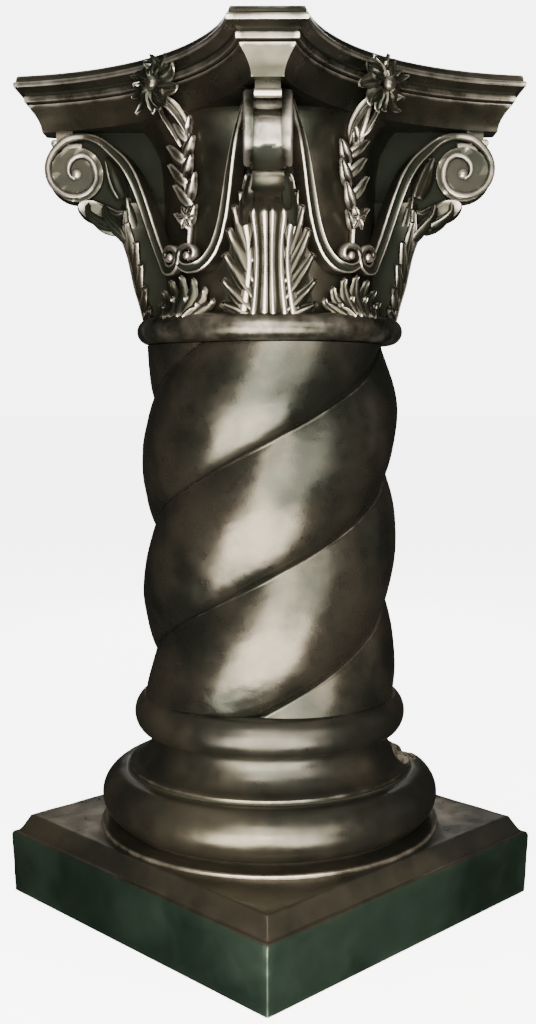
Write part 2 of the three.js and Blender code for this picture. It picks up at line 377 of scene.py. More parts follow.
apply_modifier(plinth, "BEVEL", width=2.4 * MM, segments=3, limit_method="ANGLE",
               angle_limit=math.radians(30))
uneven(plinth, 0.9, 34)
uneven(plinth, 0.35, 9, seed=3.0)
print("plinth faces", len(plinth.data.polygons))

# %% [markdown]
# ## Round mouldings of the base
#
# The fillet, the big half-round torus, the hollow scotia and the collar were turned on a lathe as
# one pattern. By hand the half outline is drawn by extruding one corner from point to point, and
# the Spin tool turns it round the axis.

# %% Spun profiles
def half_round(ring, height, across, up, start, stop, steps):
    angles = np.radians(np.linspace(start, stop, steps + 1))
    return [(ring + across * math.cos(a), height + up * math.sin(a)) for a in angles]


def spun(name, profile, steps):
    """Turns a profile of (radius, height) in mm round the axis; it starts and ends on the axis."""
    clear_selection()
    bpy.ops.mesh.primitive_plane_add(size=MM)
    piece = bpy.context.object
    piece.name = name
    edit_all()
    bpy.ops.mesh.merge(type="CENTER")
    (radius, height), *rest = profile
    bpy.ops.transform.translate(value=(radius * MM, 0, height * MM))
    for next_radius, next_height in rest:
        step = ((next_radius - radius) * MM, 0, (next_height - height) * MM)
        bpy.ops.mesh.extrude_vertices_move(TRANSFORM_OT_translate={"value": step})
        radius, height = next_radius, next_height
    bpy.ops.mesh.select_all(action="SELECT")
    bpy.ops.mesh.spin(steps=steps, angle=2 * math.pi, center=(0, 0, 0), axis=(0, 0, 1))
    tidy_surface(piece)
    return piece


SHAFT_FOOT = 202.5
BASE_PROFILE = [
    (0, 70), (162.6, 70), (163, 78.2), (162.6, 79.6), (161.4, 80.3), (158.6, 80.6), (146, 80.7),
    *half_round(131.5, 107.5, 30, 26, -74, 64, 30),
    (139.4, 131.4), (135.2, 131.7), (134.9, 132.4), (135.3, 133.8), (134.9, 135.8), (133, 137.2),
    (129.4, 138.4), (124.6, 141), (120.4, 144.6), (117, 149), (114.6, 154.6), (113.4, 160),
    (113.5, 164.4), (115.2, 167.8), (118.4, 169.4),
    *half_round(112, 185, 18, 20, -47, 61, 20),
    (0, SHAFT_FOOT),
]
mouldings = spun("base_mouldings", BASE_PROFILE, 180)

# %% [markdown]
# ## The broken edge
#
# At one side the top of the torus and the rim above it are broken away, and the rough filling of
# the casting shows in the break. Three rough lumps are cut away from the mouldings with a Boolean
# modifier, and the cut faces take the material of the lumps.

# %% Break in the torus
# place of each lump in degrees and mm, its half sizes outward, round and up, and its tilt
BREAKS = [
    {"angle": 70, "radius": 153, "height": 140, "half": (27, 40, 28), "tilt": 20},
    {"angle": 53, "radius": 138, "height": 150, "half": (15, 25, 21), "tilt": 20},
    {"angle": 45, "radius": 130, "height": 148, "half": (12, 48, 13), "tilt": 0},
]
# depth as a share of the lump, and how often it repeats
BREAK_ROUGHNESS = [(0.075, 2.6), (0.04, 7)]
# both materials get their looks further down
broken_core = bpy.data.materials.new("broken_core")
mouldings.data.materials.append(bpy.data.materials.new("base_patina"))


def rough_lump(angle, radius, height, half, tilt):
    clear_selection()
    bpy.ops.mesh.primitive_ico_sphere_add(subdivisions=5, radius=1)
    lump = bpy.context.object
    points = read_points(lump.data)
    rough = np.array([sum(depth * noise.noise(Vector(p) * often) for depth, often in BREAK_ROUGHNESS)
                      for p in points])
    points = points * (1 + rough)[:, None] * np.array(half)
    turn = (Matrix.Rotation(math.radians(angle), 4, "Z")
            @ Matrix.Rotation(math.radians(tilt), 4, "X"))
    write_points(lump.data, points * MM)
    lump.data.transform(turn)
    lump.data.transform(Matrix.Translation(polar(angle, radius * MM, height * MM)))
    lump.data.materials.append(broken_core)
    return lump


for shape in BREAKS:
    lump = rough_lump(**shape)
    apply_modifier(mouldings, "BOOLEAN", object=lump, operation="DIFFERENCE", solver="EXACT",
                   material_mode="TRANSFER")
    bpy.data.objects.remove(lump)
print("mouldings after the break", len(mouldings.data.polygons))

# %% [markdown]
# ## The twisted shaft
#
# Three round strands wind up the shaft and meet in sharp grooves. A grid is rolled into a tube:
# round the shaft its columns crowd together near the grooves, so that each groove stays a crisp
# line, and every row is turned a little further than the one below.

# %% Shaft
STRANDS = 3
STRAND_RADIUS = 99.3
STRAND_OFFSET = 21.5
LEAD = 358.8
GROOVE_ANGLE = -45
GROOVE_HEIGHT = 327.2
SHAFT_HEAD = 532
SEAT_GAP = 0.3
NECK_START = 470
NECK_SHRINK = 0.045
STRAND_COLUMNS = 84
SHAFT_ROWS = 176
# how far the columns crowd towards the grooves, and the shape of a groove and of the lip beside it
CROWDING = 0.42
GROOVE_DEPTH = 3.4
GROOVE_FLANKS = (2.0, 10.5)
LIP_RISE = 0.8
LIP_PLACE = 3.4
LIP_WIDTH = 2.2
# depth and size in mm
SHAFT_DENTS = [(0.55, 26), (0.16, 7)]


def soft_step(x, low, high):
    t = np.clip((x - low) / (high - low), 0, 1)
    return t * t * (3 - 2 * t)


def shaft_place(u, v):
    foot = SHAFT_FOOT + SEAT_GAP
    z = foot + (SHAFT_HEAD - foot) * np.clip((v * SHAFT_ROWS - 1) / (SHAFT_ROWS - 2), 0, 1)
    strand = np.floor(u * STRANDS - 1e-9)
    t = (u * STRANDS - strand) * 2 - 1
    t = (1 + CROWDING) * t - CROWDING * t**3
    to_middle = np.radians(60 * t)
    radius = (STRAND_OFFSET * np.cos(to_middle)
              + np.sqrt(STRAND_RADIUS**2 - (STRAND_OFFSET * np.sin(to_middle))**2))
    groove = GROOVE_ANGLE + 360 * (z - GROOVE_HEIGHT) / LEAD
    angle = np.radians(groove + (strand + 0.5) * 120) + to_middle
    apart = radius * np.radians(60 * (1 - np.abs(t)))
    radius -= GROOVE_DEPTH * np.exp(-apart / np.where(t < 0, *GROOVE_FLANKS))
    lip = np.where(t < 0, apart, np.inf)
    radius += LIP_RISE * np.exp(-((lip - LIP_PLACE) / LIP_WIDTH)**2)
    radius *= 1 - NECK_SHRINK * soft_step(z, NECK_START, SHAFT_HEAD)
    x, y = radius * np.cos(angle), radius * np.sin(angle)
    dents = np.array([sum(depth * noise.noise(Vector(p) / size) for depth, size in SHAFT_DENTS)
                      for p in np.column_stack([x, y, z])])
    closed = (v > 0) & (v < 1)
    scale = np.where(closed, 1 + dents / radius, 0)
    return np.column_stack([x * scale, y * scale, z])


shaft = laid_grid("shaft_strands", STRANDS * STRAND_COLUMNS, SHAFT_ROWS, shaft_place)
print("shaft faces", len(shaft.data.polygons))

# %% [markdown]
# ## Bell and astragal of the capital
#
# The capital starts with a round ring, the astragal, and a smooth bell behind the leaves. Both
# are turned shapes, so they are spun in the same way as the mouldings of the base.

# %% Bell
BELL_SIDE = [(108, 557.4), (103, 558.6), (100.2, 561.5), (99, 566), (98.6, 590), (98.8, 620),
             (98.4, 640), (98, 662), (98.6, 684), (101.6, 704), (111, 722), (117, 728)]
ASTRAGAL_TOP = 556.8
BELL_PROFILE = [
    (0, SHAFT_HEAD + SEAT_GAP),
    *half_round(112.3, 544.6, 12.2, 12, -86, 80, 18),
    (112.6, 556.9), *BELL_SIDE, (0, 730),
]
bell = spun("bell", BELL_PROFILE, 144)

# %% [markdown]
# ## The abacus
#
# The abacus is the four-horned slab on top, with hollow sides and cut corners. Its outline is
# the same at every level, only moved in or out, so a grid is laid over it: one direction runs
# round the outline and the other up the mouldings.

# %% Abacus outline
ABACUS_CORNER = 228.3
ABACUS_MIDDLE = 135
ABACUS_HOLLOW = 240
ARC_STEPS = 48
CUT_STEPS = 10


def abacus_outline(offset):
    """Points round the abacus in mm, moved outwards by offset."""
    centre = ABACUS_MIDDLE + ABACUS_HOLLOW
    radius = ABACUS_HOLLOW - offset
    lead = centre - math.sqrt(2) * (ABACUS_CORNER + offset)
    end = (-lead + math.sqrt(2 * radius**2 - lead**2)) / 2
    sweep_angle = math.asin(end / radius)
    ring = []
    for side in range(4):
        turn = np.radians(90 * side)
        turned = np.array([[np.cos(turn), -np.sin(turn)], [np.sin(turn), np.cos(turn)]])
        angles = sweep_angle - 2 * sweep_angle * np.linspace(0, 1, ARC_STEPS + 1)
        arc = np.column_stack([centre - radius * np.cos(angles), -radius * np.sin(angles)])
        across = np.linspace(0, 1, CUT_STEPS + 1)[1:-1, None]
        after = np.array([-arc[0, 1], arc[0, 0]])
        cut = arc[-1] + (after - arc[-1]) * across
        ring.append(np.vstack([arc, cut]) @ turned.T)
    return np.vstack(ring)


# %% Abacus mouldings, from the foot up
# offset of the outline, and height
ABACUS_LEVELS = [
    (-28, 727.5), (-18.7, 727), (-18.5, 729.4), (-17.6, 733), (-15.8, 737.4), (-13, 741.9),
    (-10.2, 745.4), (-8.4, 748.2), (-8.2, 749.4), (-9.6, 749.9), (-9.6, 750.6), (-6.2, 751.1),
    (-5.1, 751.7), (-4.8, 753), (-4.8, 755.6), (-5.2, 756.6), (-6.3, 757.2), (-6.1, 758),
    (-4.4, 759.2), (-1.4, 760.9), (0.6, 762.2), (1.6, 762.9), (2.8, 763.1), (3.4, 764),
    (3.5, 765.4), (3.4, 766.8), (2.7, 767.7), (1.5, 768), (1.2, 768.7), (1, 770.6), (0.5, 772.4),
    (-0.6, 773.5), (-2.2, HEIGHT), (-14, HEIGHT), (-28, HEIGHT),
]
outlines = np.array([abacus_outline(offset) for offset, _ in ABACUS_LEVELS])
heights = np.array([z for _, z in ABACUS_LEVELS])


def abacus_place(u, v):
    rows = len(ABACUS_LEVELS)
    around = outlines.shape[1]
    i = np.rint(u * around).astype(int) % around
    j = np.rint(v * (rows + 1)).astype(int) - 1
    level = np.clip(j, 0, rows - 1)
    xy = np.where(((j < 0) | (j >= rows))[:, None], 0, outlines[level, i])
    return np.column_stack([xy, heights[level]])


abacus = laid_grid("abacus", outlines.shape[1], len(ABACUS_LEVELS) + 1, abacus_place)
print("abacus faces", len(abacus.data.polygons))

# %% [markdown]
# ## Corner scrolls
#
# Under each horn of the abacus a band rolls up into a scroll. Seen from the side it is a spiral
# that tightens towards an eye; seen from the corner it is a rounded band between two rims. Each
# rim runs on over the top of the scroll as a stem, slides down the bell and curls up at its foot.
# Everything at a corner is modelled once, with the corner towards +X, and copied to all four.

# %% Drum and web of a scroll
# the radius grows by DRUM_GROWTH in a turn, and a soft dent lies at DENT_ANGLE
EYE_OUT = 178
EYE_HEIGHT = 688.5
DRUM_HALF = 14
DRUM_RADIUS = 27.9
DRUM_GROWTH = 9
DENT_DEPTH = 5.5
DENT_ANGLE = 40
DENT_WIDTH = 15
DISC_RADIUS = 24.5
DISC_HALF = 14.3
WEB_HALF = 7
BAR_OUT = 198.5
BAR_HEIGHT = 717.5
BLOCK_OUT = 191


def mirrored(half):
    """A whole section from its left half, which ends on the middle line."""
    return half + [(-x, y) for x, y in half[-2::-1]]


DRUM_SECTION = mirrored([(-1, -9), (-1, -3.2), (-0.95, -2.2), (-0.82, -1.3), (-0.5, -0.3),
                         (-0.2, 0.1), (0, 0.2)])


def drum_line(start, stop, count):
    """Points of the drum seen from the side; angles in degrees above the outward direction."""
    angle = np.linspace(start, stop, count)
    radius = DRUM_RADIUS + DRUM_GROWTH * angle / 360
    radius -= DENT_DEPTH * np.exp(-((angle - DENT_ANGLE) / DENT_WIDTH) ** 2)
    turn = np.radians(angle)
    return turn, EYE_OUT + radius * np.cos(turn), EYE_HEIGHT + radius * np.sin(turn)


turn, out, height = drum_line(100, -128, 52)
drum = sweep("scroll_drum", np.column_stack([out, 0 * out, height]),
             np.column_stack([np.cos(turn), 0 * turn, np.sin(turn)]), DRUM_HALF, 1, DRUM_SECTION)


disc_outline = [(EYE_OUT + x, EYE_HEIGHT + y) for x, y in circle(DISC_RADIUS, 40)]
web_outline = [(176, 665), (180, 690), (182, 716), (182, 729), (112, 729), (94, 700), (94, 640),
               (140, 655)]


def upright_plate(name, outline, half):
    """A plate standing in the plane of the corner, half mm thick to each side."""
    clear_selection()
    bpy.ops.mesh.primitive_circle_add(vertices=len(outline), fill_type="NGON")
    piece = bpy.context.object
    piece.name = name
    write_points(piece.data, np.array([(x, -half, z) for x, z in outline]) * MM)
    edit_all()
    bpy.ops.mesh.extrude_region_move(TRANSFORM_OT_translate={"value": (0, 2 * half * MM, 0)})
    bpy.ops.mesh.select_all(action="SELECT")
    bpy.ops.mesh.quads_convert_to_tris()
    bpy.ops.mesh.subdivide(number_cuts=3)
    tidy_surface(piece)
    return piece


web = upright_plate("scroll_web", web_outline, WEB_HALF)
disc = upright_plate("scroll_disc", disc_outline, DISC_HALF)
bar_half = [2.6, 3.6, 3.8, 3.6, 2.6]
bar = sweep("scroll_bar", [(BAR_OUT, y, BAR_HEIGHT) for y in (-11, -10.4, 0, 10.4, 11)],
            (1, 0, 0), bar_half, bar_half, circle(1, 16))
block = sweep("scroll_block", [(BLOCK_OUT, 0, z) for z in (716, 719, 723, 728)], (1, 0, 0), 10, 6,
              [(-1, -1), (-1, 1), (0, 1.2), (1, 1), (1, -1)])

# %% Rims that run on as stems
RIM_OFFSET = 18
RIM_STATIONS = 220
ROUND_RIM = mirrored([(-1, -7), (-1, -0.8), (-0.84, 0.3), (-0.62, 0.9), (-0.42, 1.2), (-0.2, 1.35),
                      (0, 1.4)])
DOUBLE_RIM = [
    (-1, -7), (-1, -0.4), (-0.92, 0.9), (-0.76, 1.4), (-0.58, 0.8), (-0.36, -0.1), (0, -0.4),
    (0.36, -0.1), (0.58, 0.6), (0.76, 1.0), (0.92, 0.5), (1, -0.4), (1, -7),
]
# outward and upward from the eye, half width: from the inner end of the spiral to its top
RIM_POINTS = [
    (1.2, -4.6, 1.6), (5.6, -1.2, 1.9), (7, 4.6, 2.2), (5, 10.9, 2.4), (-0.6, 15.6, 2.5),
    (-7.8, 16.2, 2.6), (-14.5, 11.4, 2.7), (-17.9, 2.3, 2.8), (-17.2, -7, 2.8), (-12.1, -14.7, 2.8),
    (-3.8, -19.2, 2.9), (8.1, -18.9, 2.9), (19.3, -12.4, 3), (25.1, -2.3, 3), (25.4, 10.2, 3),
    (19, 22.4, 3), (8.1, 31.4, 3),
]
# ridge of the stem: angle from the corner, radius, height, half width, facing, share of double rim
STEM_RIDGE = [
    (5.6, 172, 722.4, 3, 88, 0), (7.1, 158.4, 718, 3.6, 82, 0.4), (8.9, 146, 707.5, 4.4, 74, 0.8),
    (10.9, 136, 696.6, 5, 66, 1), (12.6, 128.8, 684.2, 5.5, 60, 1), (14.4, 123, 668.9, 5.8, 54, 1),
    (16.3, 118, 652.1, 6, 49, 1), (18.9, 113.4, 633.8, 6, 46, 1), (22.3, 110, 617.6, 6, 44, 1),
    (26.3, 108.4, 605.8, 6, 44, 1), (31, 109.5, 597.4, 5.6, 44, 1), (35.4, 111, 594.6, 5, 44, 1),
    (40.2, 112.4, 595, 4.2, 45, 0.9), (43.9, 113.4, 599.6, 3.4, 45, 0.6),
    (44.9, 114, 606.4, 3, 45, 0.3), (42.8, 114.4, 613, 2.8, 45, 0), (38.6, 114.4, 615, 2.6, 45, 0),
    (35.6, 114, 611.6, 2.4, 45, 0), (35.6, 113.6, 606.8, 2.2, 45, 0), (38, 113, 604.6, 2, 45, 0),
]


def rim_and_stem(side):
    """One rim with its stem, from the eye of the big scroll to the hook of the small one."""
    rows = [(EYE_OUT + out, RIM_OFFSET, EYE_HEIGHT + up, half, 90, 0)
            for out, up, half in RIM_POINTS]
    stem = np.array(STEM_RIDGE)
    arc = np.column_stack([np.radians(stem[:, 0]) * stem[:, 1], stem[:, 2]])
    along = unit(np.gradient(arc, axis=0))
    shift = (stem[:, 3] - 3).clip(0)
    turn = stem[:, 0] + np.degrees(-along[:, 1] * shift / stem[:, 1])
    height = stem[:, 2] + along[:, 0] * shift
    for *place, half, face, double in zip(turn, stem[:, 1], height, *stem[:, 3:].T):
        rows.append((*polar(*place), half, face, double))
    rows = through(rows, RIM_STATIONS)
    rows[:, 1] *= side
    face = np.radians(rows[:, 4])
    facing = np.column_stack([np.cos(face), side * np.sin(face), 0 * face])
    share = rows[:, 5][:, None, None]
    section = (1 - share) * np.array(ROUND_RIM) + share * np.array(DOUBLE_RIM)
    return sweep("scroll_rim", rows[:, :3], facing, rows[:, 3],
                 np.interp(rows[:, 5], [0, 1], [1, 1.5]), section)


rims = [rim_and_stem(1), rim_and_stem(-1)]

# %% Small round forms
# angle from the corner, radius and height
STEM_EYE = (39.4, 113, 606.8)


def knob(name, place, radius, squash, facing=(0, 1, 0)):
    """A flattened ball, such as an eye or a seed."""
    clear_selection()
    bpy.ops.mesh.primitive_uv_sphere_add(segments=20, ring_count=12, radius=radius * MM)
    ball = bpy.context.object
    ball.name = name
    ball.data.transform(Matrix.Diagonal((1, 1, squash, 1)))
    ball.data.transform(Vector(facing).to_track_quat("Z", "Y").to_matrix().to_4x4())
    ball.data.transform(Matrix.Translation(Vector(place) * MM))
    return ball


eyes = [knob("scroll_eye", (EYE_OUT - 0.4, side * 15.8, EYE_HEIGHT), 4.8, 0.85) for side in (1, -1)]
x, y, z = polar(*STEM_EYE)
eyes += [knob("stem_eye", (x, side * y, z), 3.6, 0.8, (0.7, 0.7 * side, 0)) for side in (1, -1)]

# %% [markdown]
# ## Acanthus leaves
#
# A tall leaf climbs the bell under each scroll. Its middle is a sheaf of sharp upright ribs that
# ends in a rolled lip, and from both sides veined lobes sweep up and outwards. The middle is a
# grid wrapped round the side view of the leaf; each lobe is a swept form with three ridges.

# %% Side view of the leaf
# out, height, half width of the ribbed middle, depth of its ribs
LEAF_LINE = [
    (117.6, 553, 27, 0.6), (118.4, 558, 26, 1), (121.5, 570, 23.4, 1), (126, 585, 21, 1),
    (129, 599, 20, 1), (132, 613, 20.8, 1), (135.4, 624, 23, 1), (139.4, 633.5, 25.2, 1),
    (144, 639.6, 23, 0.4), (153, 643.4, 18.6, 0), (163, 644.8, 15.6, 0),
    (171.4, 648.2, 14, 0), (177, 653.6, 12.8, 0), (179.6, 659.6, 12.6, 0),
    (178, 664.6, 12.6, 0), (172, 667.6, 12.6, 0), (162, 667.6, 12.6, 0), (150, 663, 13, 0),
    (140, 658, 14, 0),
]
LEAF_BACK = [(124, 658), (104, 646), (100, 600), (100, 560)]
# where the rolled lip closes at its two ends: out, to each side, up
LEAF_POLE = (143, 7, 651)
RIB_COUNT = 6
LEAF_STATIONS = 110


def leaf_solid(name, line, back, columns, lift):
    """A solid from its side view; lift(a, ribs) is its relief, where a is -1 to 1 across."""
    line = through(line, LEAF_STATIONS)
    back = np.array([(out, height, line[-1, 2], 0) for out, height in back])
    loop = np.vstack([line, back])
    normal = unit(np.column_stack([np.gradient(loop[:, 1]), -np.gradient(loop[:, 0])]))
    normal[len(line):] = 0
    around = len(loop)

    def place(u, v):
        i = np.rint(v * around).astype(int) % around
        j = np.rint(u * (columns + 2)).astype(int)
        a = (np.clip(j, 1, columns + 1) - 1) / columns * 2 - 1
        out, height, half, ribs = loop[i].T
        rise = lift(a, ribs)
        xyz = np.column_stack([out + normal[i, 0] * rise, a * half, height + normal[i, 1] * rise])
        capped = (j == 0) | (j == columns + 2)
        side_pole = np.column_stack([np.ones_like(a), np.sign(a), np.ones_like(a)]) * LEAF_POLE
        return np.where(capped[:, None], side_pole, xyz)

    return laid_grid(name, columns + 2, around, place)


def ribbed(a, ribs):
    ridge = 0.5 - 0.5 * np.cos(np.pi * RIB_COUNT * a)
    uneven_ridge = 1 + 0.25 * np.sin(11 * a + 1)
    return -2.6 * a**2 + ribs * (3.2 * uneven_ridge * ridge**0.42 - 2.1)


leaf = leaf_solid("leaf_middle", LEAF_LINE, LEAF_BACK, 112, ribbed)

# %% Ground of the leaf, behind the ribs and lobes
LEAF_FOOT = 553
GROUND_HEAD = 662
GROUND_ROWS = 30
FRONT_COLUMNS = 30
BACK_COLUMNS = 10
BACK_OUT = 92
front_line = np.array([row[:2] for row in LEAF_LINE[:9]])


def leaf_half(height):
    return np.interp(height, [LEAF_FOOT, 600, 652], [40, 31.5, 20.5])


def leaf_ground(across, height):
    """How far out the leaf's ground lies at a place, in mm."""
    front = np.interp(height, front_line[:, 1], front_line[:, 0])
    return front - 4 - 8.5 * (np.abs(across) / leaf_half(height)) ** 1.4


def ground_place(u, v):
    columns = FRONT_COLUMNS + BACK_COLUMNS
    j = np.clip(np.rint(v * (GROUND_ROWS + 2)).astype(int) - 1, 0, GROUND_ROWS)
    height = LEAF_FOOT + (GROUND_HEAD - LEAF_FOOT) * j / GROUND_ROWS
    i = np.rint(u * columns).astype(int) % columns
    a = np.clip(i / FRONT_COLUMNS, 0, 1) * 2 - 1
    behind = np.clip((i - FRONT_COLUMNS) / BACK_COLUMNS, 0, 1)
    half = leaf_half(height)
    across = np.where(i <= FRONT_COLUMNS, a * half, half * (1 - 2 * behind))
    out = np.where(i <= FRONT_COLUMNS, leaf_ground(a * half, height), BACK_OUT)
    ends = (v < 1e-6) | (v > 1 - 1e-6)
    return np.column_stack([np.where(ends, 110, out), np.where(ends, 0, across), height])


ground = laid_grid("leaf_ground", FRONT_COLUMNS + BACK_COLUMNS, GROUND_ROWS + 2, ground_place)
print("leaf middle faces", len(leaf.data.polygons))

# %% Lobes and leaflets
LOBE_SECTION = [
    (-1, -0.4), (-0.84, 0.2), (-0.6, 0.5), (-0.4, 0.45), (-0.2, 0.9), (0.05, 1.2), (0.32, 1.05),
    (0.6, 0.6), (0.84, 0.2), (1, -0.4), (0.6, -1.4), (-0.6, -1.4),
]
LEAFLET_SECTION = [
    (-1, 0), (-0.6, 0.5), (-0.22, 0.45), (0, 1), (0.22, 0.45), (0.6, 0.5), (1, 0), (0, -0.9),
]


def blade(name, points, facing, half, deep, section, count, blunt):
    """A lobe or leaflet: widest at a third of its length, pointed or blunt at the tip."""
    line = through(points, count)
    t = np.linspace(0, 1, count)
    swell = np.sin(np.pi * (0.14 + 0.86 * t) ** 0.8) ** 0.75
    swell = np.maximum(swell, blunt * (t < 0.98))
    return sweep(name, line, facing, half * swell, deep * (0.45 + 0.55 * swell), section)


def bell_radius(z):
    radii, heights = zip(*BELL_SIDE)
    return np.interp(z, heights, radii)


def on_bell(angle, lift, z):
    """A point at lift mm in front of the bell, angle in degrees from +X."""
    return polar(angle, float(bell_radius(z)) + lift, z)


def on_leaf(across, height, lift):
    return (float(leaf_ground(across, height)) + lift, across, height)


# across and height of the root, of the middle and of the tip, and half width
LEAF_LOBES = [
    ((13, 552), (27, 558), (38.5, 563), 6.4), ((13, 557), (27, 569), (38.5, 582), 7),
    ((13, 568), (26, 585), (36.5, 603), 7.2), ((13, 582), (24.5, 602), (33, 623), 7),
    ((14, 598), (22.5, 619), (28, 641), 6.4), ((16.5, 614), (21, 633), (23, 653), 5.6),
]
# points on the right half of the leaf, and half width
LIP_LOBES = [
    ([(130, 21, 628), (141, 20, 640), (150, 17, 650), (153, 14, 661)], 6.4),
    ([(146, 17, 640), (158, 16.4, 646), (167, 15, 654), (168, 12.6, 663)], 5.6),
]
TOP_LOBE = [(122, 18, 630), (127, 19.5, 645), (129.5, 19, 660), (131, 17, 668)]
NOOK_LEAF = [(137, 11, 668), (141, 13.5, 678), (145.5, 14, 690), (151, 12, 704)]


def on_side(points, side):
    """The points as they are for side 1, or mirrored for side -1."""
    return [(x, y * side, z) for x, y, z in points]


lobes = []
for side in (1, -1):
    for number, (root, middle, tip, half) in enumerate(LEAF_LOBES):
        points = [on_leaf(side * x, z, lift) for (x, z), lift in
                  zip((root, middle, tip), (1.4, 3.4, 2.2))]
        points.append(tuple(np.array(points[-1]) + [2.4, 1.6 * side, 1.0]))
        facing = polar(side * (26 + 3 * number), 1, 0.15)
        lobes.append(blade("leaf_lobe", points, facing, half, 3.2, LOBE_SECTION, 16, 0.5))
    for points, half in LIP_LOBES:
        lobes.append(blade("lip_lobe", on_side(points, side), (-0.25, side, 0.25), half, 4,
                           LOBE_SECTION, 16, 0.5))
    lobes.append(blade("top_lobe", on_side(TOP_LOBE, side), (0.5, side, 0), 5.6, 3.2,
                       LOBE_SECTION, 16, 0.5))
nook_leaves = [blade("nook_leaf", on_side(NOOK_LEAF, side), (0.2, side, 0.1), 9, 5, LOBE_SECTION,
                     16, 0.4) for side in (1, -1)]

# %% Four dressed corners
CORNERS = [45, 135, 225, 315]
DRUM_HIGHLIGHT_FROM = 677
LEAF_HIGHLIGHT_TO = 637
# Above its middle height the drum's bulge is brightened as a painted highlight, and below it the drum
# is darkened as painted shade. The web, deep under the abacus, is darkened as painted shade.
drum_highlight_and_shade = np.where(read_points(drum.data)[:, 2] > DRUM_HIGHLIGHT_FROM * MM, -0.45, 0.45)
for piece, shade in [(drum, drum_highlight_and_shade), (web, 0.9), (disc, 0.34), (bar, -0.3), (block, 0.1),
                     *((p, 0.15) for p in rims + eyes), *((p, 0.1) for p in nook_leaves)]:
    smooth_by_angle(piece, 40)
    mark_crests(piece, shade=shade)
corner = join_pieces("corner", [drum, web, disc, bar, block, *rims, *eyes, *nook_leaves])
corner_scrolls = turned_copies(corner, CORNERS, "corner_scroll")
smooth_by_angle(leaf, 60)
out, _, height = (read_points(leaf.data) / MM).T
# The hollow of the rolled lip at its pole is darkened as painted shade, and the ribbed lower part of
# the leaf is brightened as a painted highlight.
in_hollow = np.hypot(out - LEAF_POLE[0], height - LEAF_POLE[2]) < 1
leaf_shade_and_highlight = np.where(in_hollow, 2, np.where(height < LEAF_HIGHLIGHT_TO, -0.4, 0))
mark_crests(leaf, 2.6, 0.75, leaf_shade_and_highlight)
# the leaf's ground, deep behind the ribs and lobes, is darkened as painted shade
for piece, shade in [(ground, 1), *((lobe, 0.25) for lobe in lobes)]:
    smooth_by_angle(piece, 50)
    mark_crests(piece, shade=shade)
leaf = join_pieces("leaf", [leaf, ground, *lobes])
corner_leaves = turned_copies(leaf, CORNERS, "corner_leaf")

# %% [markdown]
# ## Flowers and sprays
#
# The middle of each side of the abacus carries a leafy flower that reaches its top edge. A stalk
# climbs to it from a small flower on the bell, with leaves in pairs that point up and outwards.

# %% Flower on the abacus
FLOWER_HEIGHT = 749
# degrees from upright, length, half width, how far the tip curls out
FLOWER_PETALS = [
    (-165, 24, 7.6, 0), (-132, 30, 8.4, 4), (-98, 31, 8, 1), (-64, 29, 8.4, 5), (-28, 25, 8, 2),
    (6, 24, 7.6, 6), (38, 27, 8.4, 2), (72, 31, 8, 5), (106, 30, 8.4, 1), (140, 28, 7.6, 4),
    (172, 22, 7, 0), (-80, 20, 6, 8), (-10, 17, 6, 8), (55, 19, 6, 8), (122, 20, 6, 8),
]
flower = [knob("flower_heart", (143, 2, FLOWER_HEIGHT), 6, 0.8, (1, 0, 0))]
for turn, length, half, curl in FLOWER_PETALS:
    a = math.radians(turn)
    s, c = math.sin(a), math.cos(a)
    length = min(length, (HEIGHT - 1.5 - FLOWER_HEIGHT) / c) if c > 0.2 else length
    points = [(out, share * length * s + bend * c, FLOWER_HEIGHT + share * length * c - bend * s)
              for out, share, bend in ((133, 0.1, 0), (140.5, 0.36, 1.6), (138, 0.7, 1),
                                       (135 + curl, 0.92, -1), (137 + curl, 1, -2.4))]
    flower.append(blade("flower_petal", points, (1, 0.3 * s, 0.1 * c), half, 3.4, LEAFLET_SECTION, 14,
                        0.2))

# %% Spray below the flower
# out, across, height
STALK = [(126, -4, 738), (115, 4, 724), (105.4, 6, 710), (102, -1, 696), (101.4, -4, 680),
         (101, -1, 664), (100.6, 4, 648), (101, 3, 630), (101.5, 0, 600)]
stalk = through(STALK, 40)
spray = [blade("ribbon_leaf", [(132, 2 * side, 740), (122, 9 * side, 730), (110, 9 * side, 716),
                                (104, 5 * side, 703)], (0.7, 0.5 * side, -0.5), 4.6, 2.6,
               LEAFLET_SECTION, 14, 0.2) for side in (1, -1)]
spray.append(sweep("spray_stalk", stalk, (1, 0, 0), 2.2, 2.6, circle(1, 8)))


def stalk_at(z):
    order = np.argsort(stalk[:, 2])
    return np.array([np.interp(z, stalk[order, 2], stalk[order, k]) for k in (0, 1)])


# height on the stalk, side, length, half width, degrees from upright
SPRAY_LEAVES = [
    (712, 1, 17, 4.6, 40), (706, -1, 20, 5, 36), (694, 1, 23, 6.2, 50), (688, -1, 24, 6.4, 44),
    (676, 1, 24, 6.4, 44), (669, -1, 26, 6.4, 40), (657, 1, 26, 6, 36), (650, -1, 26, 6, 38),
    (636, 1, 20, 4.6, 44), (632, -1, 20, 4.6, 46),
]
for z, side, length, half, lean in SPRAY_LEAVES:
    out, across = stalk_at(z)
    a = math.radians(lean)
    s, c = side * math.sin(a) * length, math.cos(a) * length
    points = [(out, across, z), (out + 3.6, across + 0.4 * s, z + 0.36 * c),
              (out + 5, across + 0.76 * s, z + 0.76 * c), (out + 6, across + s, z + c)]
    spray.append(blade("spray_leaf", points, (1, 0.45 * side, 0), half, 3, LOBE_SECTION, 12, 0.4))

